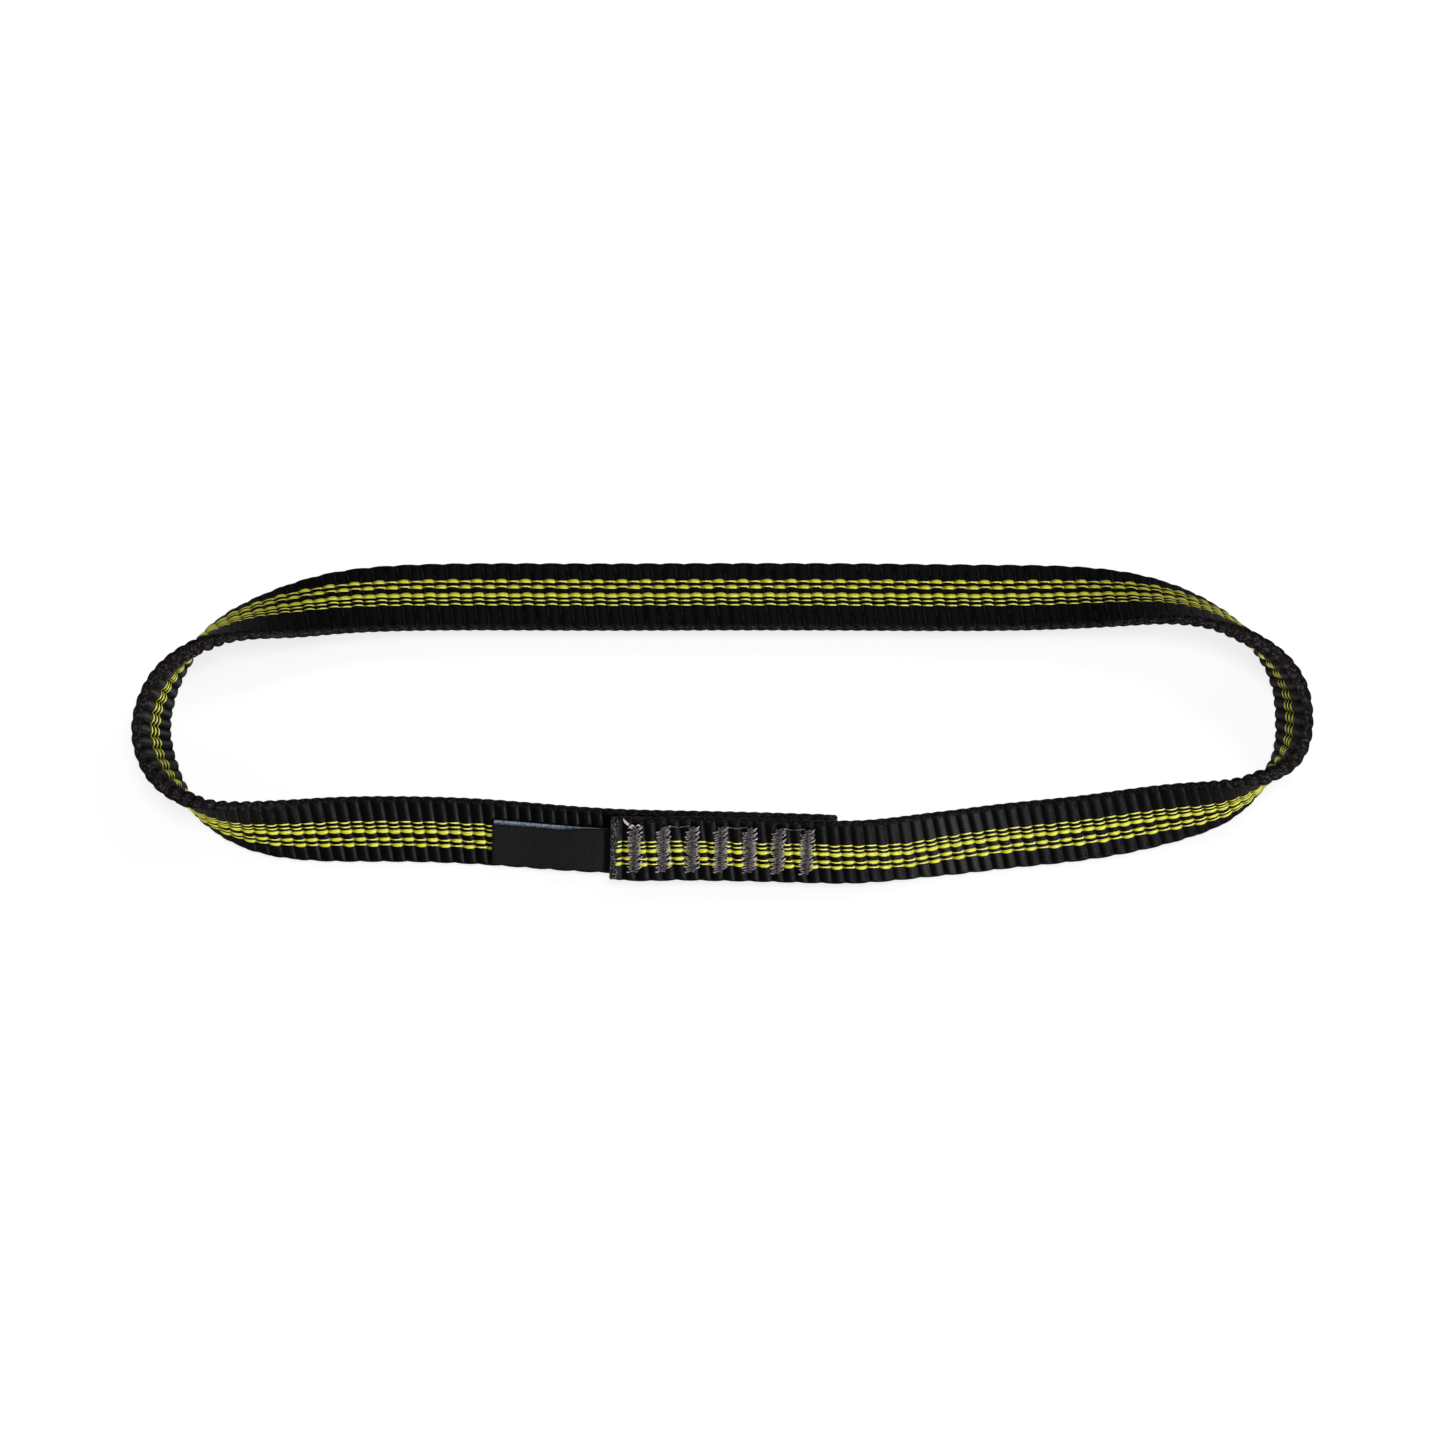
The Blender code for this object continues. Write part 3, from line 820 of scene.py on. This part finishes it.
def webbing_look():
    """Black floats with a painted shine along their crests and painted shade in the gaps at the rib
    boundaries.
    """
    jag = 0.07
    mottle_relief = 1.6
    fibre_relief = 0.22
    fibre_roughness = 0.08
    sheen_beside_teeth = 0.25
    sheen_on_teeth = 0.95
    rim_strength = 0.85
    look = Look("webbing_black")
    along, across = look.weave()
    strand = look.maths("DIVIDE", across, STRAND_PITCH / MM)
    tooth = look.ramp(look.maths("COSINE", look.times(strand, 2 * math.pi)), -0.4, 0.7)
    jagged = look.plus(along, look.times(tooth, jag))
    rib = look.plus(jagged, 0.5)
    floats = look.maths("MAXIMUM", float_shape(look, rib, 0.0, strand), float_shape(look, rib, 1.0, strand))
    seal = look.value("seal")
    mottle = look.noise(scale=2600, detail=3.0)
    woven = look.times(floats, look.maths("SUBTRACT", 1.0, seal))
    height = look.plus(woven, look.times(mottle, mottle_relief, seal))
    fibre = look.noise(scale=5200, detail=1.0)
    look.bump(look.plus(height, look.times(fibre, fibre_relief)), distance=0.00009)
    # Painted shade: the floats are darker the deeper they lie between the ribs
    depth = look.ramp(height, 0.45, 0.98)
    cloth = look.mix(depth, *BLACK_FLOAT)
    # Painted glints along the end of each rib, on the strands' teeth
    phase = look.maths("FRACT", jagged)
    window = look.times(look.ramp(phase, 0.80, 0.90), look.ramp(phase, 0.99, 0.95))
    patch = look.ramp(look.noise(scale=420), 0.36, 0.60)
    cloth = look.mix(look.times(window, tooth, patch), cloth, BLACK_GLINT)
    # Painted sheen on the floats, in colour
    sheen = look.times(look.value("sheen"), look.plus(sheen_beside_teeth, look.times(tooth, sheen_on_teeth)))
    cloth = look.mix(sheen, cloth, BLACK_SHEEN)
    melted = look.mix(look.ramp(mottle, 0.52, 0.62), *MELTED_END)
    colour = look.mix(seal, cloth, melted)
    # Painted glints: light flecks over the edges' braid
    flecks = look.ramp(look.noise(scale=1700, detail=1.0), 0.55, 0.63)
    braid_and_glint = look.mix(flecks, *EDGE_BRAID_AND_GLINT)
    colour = look.mix(look.times(look.value("rim"), rim_strength), colour, braid_and_glint)
    smoothness = look.ramp(depth, 0.0, 1.0, to_low=0.56, to_high=0.34)
    rough = look.plus(smoothness, look.times(fibre, fibre_roughness))
    return look.finish(colour, rough, specular_ior_level=0.07)


def yarn_look():
    """Lime yarn with painted highlight streaks along it: painted shade in the gaps, and a painted highlight
    on the crests where it is thin.
    """
    streak_length = 0.4
    streaks_around = 16.0
    look = Look("yarn_lime")
    along, around = look.weave()
    streaks = look.node("ShaderNodeCombineXYZ")
    look.feed(streaks.inputs[0], look.times(along, streak_length))
    look.feed(streaks.inputs[1], look.times(around, streaks_around))
    fibre = look.noise(scale=1.5, vector=streaks.outputs[0])
    tone = look.value("tone")
    strand = look.ramp(fibre, 0.30, 0.52)
    bright = look.mix(strand, *LIME_IN_LIGHT)
    bright = look.mix(look.ramp(fibre, 0.54, 0.66), bright, LIME_HIGHLIGHT_STREAK)
    colour = look.mix(tone, look.mix(strand, *LIME_IN_SHADE), bright)
    colour = look.mix(look.ramp(tone, 1.0, HIGHLIGHT_TONE), colour, LIME_PAINTED_HIGHLIGHT)
    look.bump(fibre, distance=0.00002, strength=0.7)
    look.shader.inputs["Sheen Tint"].default_value = LIME_SHEEN
    rough = look.ramp(tone, 0.2, 0.8, to_low=0.80, to_high=0.36)
    return look.finish(colour, rough, specular_ior_level=0.5, sheen_weight=0.15, sheen_roughness=0.45)


def thread_look():
    """Two-ply mauve thread, flecked with dark, with its plies and the stitches' ends painted light as
    highlights.
    """
    ply_length = 0.80
    ply_count = 2.0
    look = Look("tack_thread_mauve")
    along, around = look.weave()
    ply = look.plus(look.maths("DIVIDE", along, ply_length), look.times(around, ply_count))
    wave = look.maths("ABSOLUTE", look.sine(look.times(ply, math.pi)))
    fleck = look.noise(scale=1700, detail=1.0)
    tone = look.times(look.ramp(wave, 0.0, 0.65), look.ramp(fleck, 0.31, 0.49), look.value("tone"))
    look.bump(wave, distance=0.00009, strength=0.9)
    return look.finish(look.mix(tone, *THREAD_MAUVE), 0.34, specular_ior_level=0.45)


def label_look():
    """The label's plain black satin, with a fine twill."""
    twill_slant = 0.12
    twill_rate = 17.0
    pick_rate = 22.0
    twill_relief = 0.5
    pick_relief = 0.35
    look = Look("label_satin")
    along, across = look.weave()
    twill = look.sine(look.times(look.plus(along, look.times(across, twill_slant)), twill_rate))
    pick = look.sine(look.times(across, pick_rate))
    grain = look.plus(look.times(twill, twill_relief), look.times(pick, twill, pick_relief))
    relief = look.plus(grain, look.noise(scale=2400))
    look.bump(relief, distance=0.00005, strength=0.8)
    colour = look.mix(look.ramp(relief, 0.1, 1.2), *LABEL_BLACK)
    return look.finish(colour, 0.45, specular_ior_level=0.08)


def label_reverse_look():
    """The grey-blue back of the label's weave, in slanted ticks."""
    tick_slant = 0.5
    tick_rate = 15.0
    look = Look("label_reverse")
    along, across = look.weave()
    tick = look.sine(look.times(look.plus(along, look.times(across, tick_slant)), tick_rate))
    shade = look.times(look.ramp(tick, -0.9, 0.5), look.ramp(look.noise(scale=2000), 0.3, 0.6))
    look.bump(tick, distance=0.00004, strength=0.8)
    return look.finish(look.mix(shade, *LABEL_REVERSE), 0.5, specular_ior_level=0.4)


def floor_look():
    """White to the camera. It is lit as if it sloped to the back, where its soft shadows come from."""
    look = Look("floor_white")
    tree = look.tree
    diffuse = look.node("ShaderNodeBsdfDiffuse")
    diffuse.inputs["Color"].default_value = FLOOR_GREY
    slope = look.node("ShaderNodeCombineXYZ")
    for socket, share in zip(slope.inputs, FLOOR_SLOPE):
        socket.default_value = share
    look.feed(diffuse.inputs["Normal"], slope.outputs[0])
    glow = look.node("ShaderNodeEmission")
    glow.inputs["Color"].default_value = WHITE
    seen = look.node("ShaderNodeLightPath")
    mirrored = look.maths("MAXIMUM", seen.outputs["Is Glossy Ray"], seen.outputs["Is Transmission Ray"])
    direct = look.times(seen.outputs["Is Camera Ray"], FLOOR_GLOW)
    strength = look.maths("MAXIMUM", direct, look.times(mirrored, FLOOR_GLOW_IN_MIRRORS))
    look.feed(glow.inputs["Strength"], strength)
    both = look.node("ShaderNodeAddShader")
    tree.links.new(diffuse.outputs[0], both.inputs[0])
    tree.links.new(glow.outputs[0], both.inputs[1])
    tree.links.new(both.outputs[0], tree.nodes["Material Output"].inputs["Surface"])
    tree.nodes.remove(look.shader)
    return look.material


def make_webbing():
    """The whole strap in one closed mesh."""
    across, height, out_across, out_height, edge, angle = section().T
    regular = np.arange(RIB_COUNT * RINGS_PER_RIB + 1) / RINGS_PER_RIB * RIB_PITCH
    last_rings = STRAP_LENGTH - END_RING_PLACES[::-1]
    stations = np.concatenate([regular[:1], END_RING_PLACES, regular[1:-1], last_rings, regular[-1:]])
    rib = stations / RIB_PITCH
    along = stations[:, None]
    phase = rib[:, None] % 1
    seal = 1 - rise(end_distance(along), SEAL_LENGTH, SEAL_FADE)
    side = np.sign(np.round(height, 6))
    valley = rib_relief(along, phase, side) * (1 - seal)
    around = np.radians(angle)
    chain = edge_chain(along, rib[:, None], around, across > 0) * (1 - seal)
    at = np.clip(along - rib_lean(along) * across, 0, STRAP_LENGTH)
    press = tack_press(at, across, 1) * (side > 0) + tack_press(at, across, -1) * (side < 0)
    melted = seal * (SEAL_SWELL + SEAL_LUMPS * lumps(along, around))
    inset = END_INSET * (1 - rise(end_distance(along), *END_INSET_RISE))
    grow = valley * (1 - edge) + chain * edge - press * (1 - edge) + melted - inset
    near_edge = rise(across, *TWIST_SWELL_RISE)
    swell = TWIST_SWELL * twist_share(along) * near_edge * height / HALF_THICKNESS
    rings = STRAP.place(
        at,
        across + out_across * grow,
        layer_height(at) + height + out_height * grow + swell,
    )
    rings[..., 2] = np.maximum(rings[..., 2], 0)
    outline = np.stack([across, height], axis=1)
    perimeter = running_length(np.concatenate([outline, outline[:1]]))
    maker = Maker(WEBBING_BANDS)
    maker.tube(rings, rib, perimeter, WEBBING_BANDS, seal)
    piece = maker.build("webbing_cloth", webbing_look(), "seal")
    # Painted sheen on the black floats, kept off the edges and the sealed ends
    sheen = sheen_share(along, phase, side) * (1 - edge) * (1 - seal)
    for name, values in (("rim", edge**3), ("sheen", sheen)):
        values = np.broadcast_to(values, rings.shape[:2]).reshape(-1)
        add_values(piece.data, name, np.append(values, [0, 0]))
    return piece


def stripe(maker, side, across, width, kind, first_wide_rib):
    """One lime yarn for the whole strap, lying on a face and dipping between the ribs."""
    sway, lighter_gaps = YARN_KINDS[kind]
    start = SEAL_LENGTH - YARN_INTO_SEAL
    along = np.linspace(start, STRAP_LENGTH - start, RIB_COUNT * RINGS_PER_RIB)
    across = across - row_shift(along) * (side > 0)
    rib = along / RIB_PITCH + rib_lean(along) * across / RIB_PITCH
    phase = rib % 1
    if side > 0:
        lit = lit_phase(along, phase)
        full = rise(lit, *YARN_RISE) * fall(lit, *YARN_FALL)
    else:
        full = np.sin(math.pi * phase) ** INNER_YARN_FULLNESS
    from_float = np.abs((rib - 0.5 - first_wide_rib + 1) % 2 - 1)
    wide = {"line": 0, "chain": 1, "dash": 1 - rise(from_float, *DASH_END_RISE)}[kind]
    thin_width = width if kind == "line" else THIN_YARN_WIDTH
    thin_width = thin_width * between(THIN_SHARE_IN_GAPS, 1, full)
    wide_width = width * between(WIDE_SHARE_IN_GAPS, 1, full)
    half_width = between(thin_width, wide_width, wide) / 2
    thickness = np.minimum(YARN_THICKNESS, half_width * YARN_FLATNESS_SHARE)
    lift = YARN_LIFT + FLOAT_LIFT * wide + YARN_LIFT_IN_BENDS * bend_share(along) * (side < 0)
    lift = lift + rib_relief(along, phase, side)
    surface = HALF_THICKNESS - tack_press(along, across, side) + lift - thickness
    # Painted light: the tone is dark in the gaps as shade, brighter towards the lit end of each float, and
    # paler on thin parts as a highlight
    darkest = GAP_TONE + lighter_gaps * wide if side > 0 else INNER_GAP_TONE
    tone = between(darkest, 1, full) * between(HIGHLIGHT_TONE, 1, wide)
    wave = np.tanh(SWAY_SHARPNESS * np.cos(math.pi * (rib - 0.5))) / np.tanh(SWAY_SHARPNESS)
    turns = 2 * math.pi * np.arange(YARN_POINTS) / YARN_POINTS
    ring_across = (across - side * sway * wave)[:, None] + half_width[:, None] * np.cos(turns)
    ring_height = surface[:, None] + thickness[:, None] * np.sin(turns)
    rings = STRAP.place(along[:, None], ring_across, layer_height(along)[:, None] + side * ring_height)
    around = np.arange(YARN_POINTS + 1) / YARN_POINTS
    maker.tube(rings, along / MM, around, YARN_BANDS, tone[:, None])


def make_stripes(name, side, stripes, material):
    maker = Maker(YARN_BANDS * len(stripes))
    for across, width, kind, first_wide_rib in stripes:
        stripe(maker, side, across, width, kind, first_wide_rib)
    return maker.build(name, material, "tone")


def thread_tube(maker, course, side, diameter, bands):
    """A round thread through places given as along, across, height over the face, and tone."""
    along, across, over, tone = np.array(course).T
    base = layer_height(along) if side > 0 else 0
    surface = HALF_THICKNESS - tack_press(along if side > 0 else along + STRAP.loop_length, across, side)
    middle = STRAP.place(along, across, base + side * (surface + over))
    ahead = np.gradient(middle, axis=0)
    ahead /= np.linalg.norm(ahead, axis=1)[:, None]
    up = STRAP.look_up(STRAP.face_way, along) * side
    sideways = np.cross(ahead, up)
    sideways /= np.linalg.norm(sideways, axis=1)[:, None]
    over_way = np.cross(sideways, ahead)
    turns = 2 * math.pi * np.arange(THREAD_POINTS)[:, None] / THREAD_POINTS
    rings = (
        middle[:, None]
        + diameter / 2 * np.cos(turns) * sideways[:, None]
        + diameter / 2 * np.sin(turns) * over_way[:, None]
    )
    around = np.arange(THREAD_POINTS + 1) / THREAD_POINTS
    maker.tube(rings, running_length(middle), around, bands, tone[:, None])


def stitch(course, start, end, top, centre):
    """One stitch from hole to hole, arched, or hidden in the cloth where top is None."""
    for share in STITCH_SHARES:
        along = between(start[0], end[0], share)
        across = between(start[1], end[1], share)
        if top is None:
            course.append((along, across, -HIDDEN_DEPTH, 0.0))
            continue
        over = top - (top + HOLE_DEPTH) * abs(2 * share - 1) ** STITCH_SQUARENESS
        # Painted shade in the tack's middle and painted highlights towards its sides
        from_middle = min(abs(along - centre) * 2 / TACK_WIDTH, 1)
        course.append((along, across, over, between(MIDDLE_TONE, 1, from_middle**TONE_GROWTH)))


def tack_course(centre, dice):
    """The thread of one tack: two passes of slanted stitches, and short ones down the middle."""
    low = TACK_TO_LOWER_EDGE - HALF_WIDTH + THREAD_DIAMETER / 2
    high = low + TACK_LENGTH - THREAD_DIAMETER
    half_width = (TACK_WIDTH - THREAD_DIAMETER) / 2
    step = (high - low - TACK_SLANT) / (TACK_TEETH - 1)
    short_step = (high - low) / (2 * TACK_TEETH)
    places = []
    for k in range(TACK_TEETH - 1):
        places.append((UNDER_COURSE, 1, low + (k + 0.5) * step, TACK_SLANT))
    for k in reversed(range(TACK_TEETH)):
        places.append((OVER_COURSE, 1, low + k * step, TACK_SLANT))
    for k in range(2 * TACK_TEETH):
        places.append((MIDDLE_COURSE, 1 if k % 2 else -1, low + (k + 0.5) * short_step, MIDDLE_SLANT))
    course = []
    last = None
    for (reach_share, threads_high), way, across, slant in places:
        reach = reach_share * half_width * way
        jitter = dice.uniform(-1, 1, (2, 2)) * STITCH_JITTER
        first = (centre - reach + jitter[0, 0], across + jitter[0, 1])
        second = (centre + reach + jitter[1, 0], across + slant + jitter[1, 1])
        if last:
            stitch(course, last, first, None, centre)
        stitch(course, first, second, threads_high * THREAD_DIAMETER, centre)
        last = second
    return course


def tack_tails(centres, number):
    """The first tack's cut tails, or the fine thread that passes from one tack to the next."""
    top = TACK_TO_LOWER_EDGE - HALF_WIDTH + TACK_LENGTH
    start = centres[number - 1]
    courses = []
    if number == 1:
        for points in TAIL_COURSES:
            course = []
            for along, across, over in points:
                course.append((start + along * MM, top + across * MM, over * MM, TAIL_TONE))
            courses.append(course)
    if number in LINKED_TACKS:
        course = []
        for share in LINK_SHARES:
            across = top - LINK_TO_TOP + LINK_SWAY * math.sin(LINK_SWAY_RATE * share)
            course.append((between(start, centres[number], share), across, LINK_HEIGHT, LINK_TONE))
        courses.append(course)
    return [smooth_course(course) for course in courses]


def smooth_course(course):
    """Rounds a course of a few points into many by cutting its corners."""
    course = np.array(course)
    for _ in range(CORNER_CUTS):
        after = between(course[:-1], course[1:], CORNER_SHARE)
        before = between(course[1:], course[:-1], CORNER_SHARE)
        middle = np.stack([after, before], axis=1).reshape(-1, course.shape[1])
        course = np.concatenate([course[:1], middle, course[-1:]])
    return course


def make_tacks(material):
    dice = np.random.default_rng(TACK_SEED)
    centres = tack_centres()
    made = []
    for number, centre in enumerate(centres, 1):
        for side, thread in ((1, "needle"), (-1, "bobbin")):
            tails = tack_tails(centres, number) if side > 0 else []
            maker = Maker(TACK_BANDS + len(tails))
            thread_tube(maker, tack_course(centre, dice), side, THREAD_DIAMETER, TACK_BANDS)
            for tail in tails:
                thread_tube(maker, tail, side, TAIL_DIAMETER if number == 1 else LINK_DIAMETER, 1)
            piece = maker.build(f"bar_tack_{number}_{thread}_stitches", material, "tone")
            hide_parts(f"bar_tack_{number}_{thread}_thread")
            made.append(piece)
    return made


def label_course():
    """The label's middle line, from the lower leaf's tab to the upper leaf's, as along, height."""
    lower = HALF_THICKNESS + LABEL_CLEARANCE + LABEL_THICKNESS / 2
    fold_radius = LABEL_THICKNESS / 2 + FOLD_HOLLOW
    upper = lower + 2 * fold_radius
    fold_centre = fold_radius + LABEL_THICKNESS / 2 - LABEL_LENGTH
    leaf = np.linspace(LABEL_TAB_LENGTH - TAB_TRIM, fold_centre, LEAF_STEPS)
    course = [(along, lower) for along in leaf]
    for step in range(1, FOLD_STEPS):
        turn = math.pi * step / FOLD_STEPS
        along = fold_centre - fold_radius * math.sin(turn)
        course.append((along, lower + fold_radius * (1 - math.cos(turn))))
    for along in leaf[::-1]:
        pressed = rise(along, *LEAF_PRESS_RISE)
        course.append((along, upper - (2 * fold_radius - LABEL_THICKNESS) * pressed))
    return np.array(course)


def make_label(front, reverse):
    """The label as one thick sheet, its reverse inside the fold."""
    course = label_course()
    along, height = course.T
    count = len(course)
    is_upper = rise(np.arange(count), (count - UPPER_LEAF_SPAN) / 2, UPPER_LEAF_SPAN)
    narrower = NARROWING * is_upper * (1 - rise(along, *NARROWING_RISE))
    share = np.linspace(0, 1, LABEL_POINTS)
    across = LABEL_TO_LOWER_EDGE - HALF_WIDTH + share * (LABEL_WIDTH - narrower)[:, None]
    slope = np.gradient(course, axis=0)
    slope /= np.linalg.norm(slope, axis=1)[:, None]
    normal = np.stack([-slope[:, 1], slope[:, 0]], axis=1)
    is_free = (is_upper * smooth_rise(-along / ROOT_FADE))[:, None]
    puff = LEAF_PUFF * np.sin(math.pi * share) * is_free
    wave = LEAF_WAVE * np.sin(along / LEAF_WAVE_REACH)[:, None] * is_free
    sheets = []
    for offset in (LABEL_THICKNESS / 2, -LABEL_THICKNESS / 2):
        sheet_along = along[:, None] + normal[:, :1] * offset
        sheet_height = height[:, None] + normal[:, 1:] * offset + puff + wave
        sheets.append(STRAP.place(sheet_along, across, sheet_height))
    outer, inner = sheets
    rings = np.concatenate([outer, inner[:, ::-1]], axis=1)
    around = np.concatenate([share, LABEL_MAP_STEP + share, [2 * LABEL_MAP_STEP]])
    maker = Maker(LABEL_BANDS)
    maker.tube(rings, running_length(course), around * LABEL_WIDTH / MM, LABEL_BANDS)
    piece = maker.build("label_cloth", front)
    piece.data.materials.append(reverse)
    faces = np.arange(len(piece.data.polygons))
    column = faces % (2 * LABEL_POINTS)
    is_reverse = (column >= LABEL_POINTS) & (faces < (count - 1) * 2 * LABEL_POINTS)
    piece.data.polygons.foreach_set("material_index", is_reverse.astype(np.int32))
    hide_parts("label_tab", "label_flap")
    return piece


def make_camera():
    data = bpy.data.cameras.new("camera")
    data.sensor_width = SENSOR_MILLIMETRES
    data.lens = data.sensor_width * CAMERA_HEIGHT / (IMAGE_SIDE_PIXELS * METRES_PER_PIXEL)
    camera = add_object("camera", data)
    camera.location = (*CAMERA_PLACE, CAMERA_HEIGHT)
    bpy.context.scene.camera = camera


def make_lamp(name, place, size, power):
    data = bpy.data.lights.new(name, "AREA")
    data.shape = "RECTANGLE"
    data.size, data.size_y = size
    data.energy = power
    lamp = add_object(name, data)
    lamp.location = place
    lamp.rotation_euler = (-Vector(place)).to_track_quat("-Z", "Y").to_euler()


def make_studio():
    mesh = bpy.data.meshes.new("floor")
    corners = [(x * FLOOR_HALF_SIDE, y * FLOOR_HALF_SIDE, 0) for x, y in ((-1, -1), (1, -1), (1, 1), (-1, 1))]
    mesh.from_pydata(corners, [], [(0, 1, 2, 3)])
    mesh.materials.append(floor_look())
    floor = add_object("floor", mesh)
    floor.location.z = -FLOOR_DROP
    for lamp in LAMPS:
        make_lamp(*lamp)
    world = bpy.data.worlds.new("studio")
    world.use_nodes = True
    background = world.node_tree.nodes["Background"]
    background.inputs["Color"].default_value = WHITE
    background.inputs["Strength"].default_value = WORLD_STRENGTH
    bpy.context.scene.world = world
    bpy.context.scene.view_settings.view_transform = "Standard"


def main():
    make_camera()
    webbing = make_webbing()
    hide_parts("webbing")
    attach(webbing, "sling")
    lime = yarn_look()
    stripes_a = make_stripes("stripes_outer_face", 1, FACE_A_STRIPES, lime)
    stripes_b = make_stripes("stripes_inner_face", -1, FACE_B_STRIPES, lime)
    tacks = make_tacks(thread_look())
    for piece in (stripes_a, stripes_b, *tacks):
        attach(piece, "sling")
    label = make_label(label_look(), label_reverse_look())
    middle = LABEL_TO_LOWER_EDGE + LABEL_WIDTH / 2 - HALF_WIDTH
    start = STRAP.place(LABEL_BEND_START, middle, LABEL_BEND_HEIGHT)
    end = STRAP.place(LABEL_BEND_END, middle, LABEL_BEND_HEIGHT)
    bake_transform(label)
    make_studio()


main()
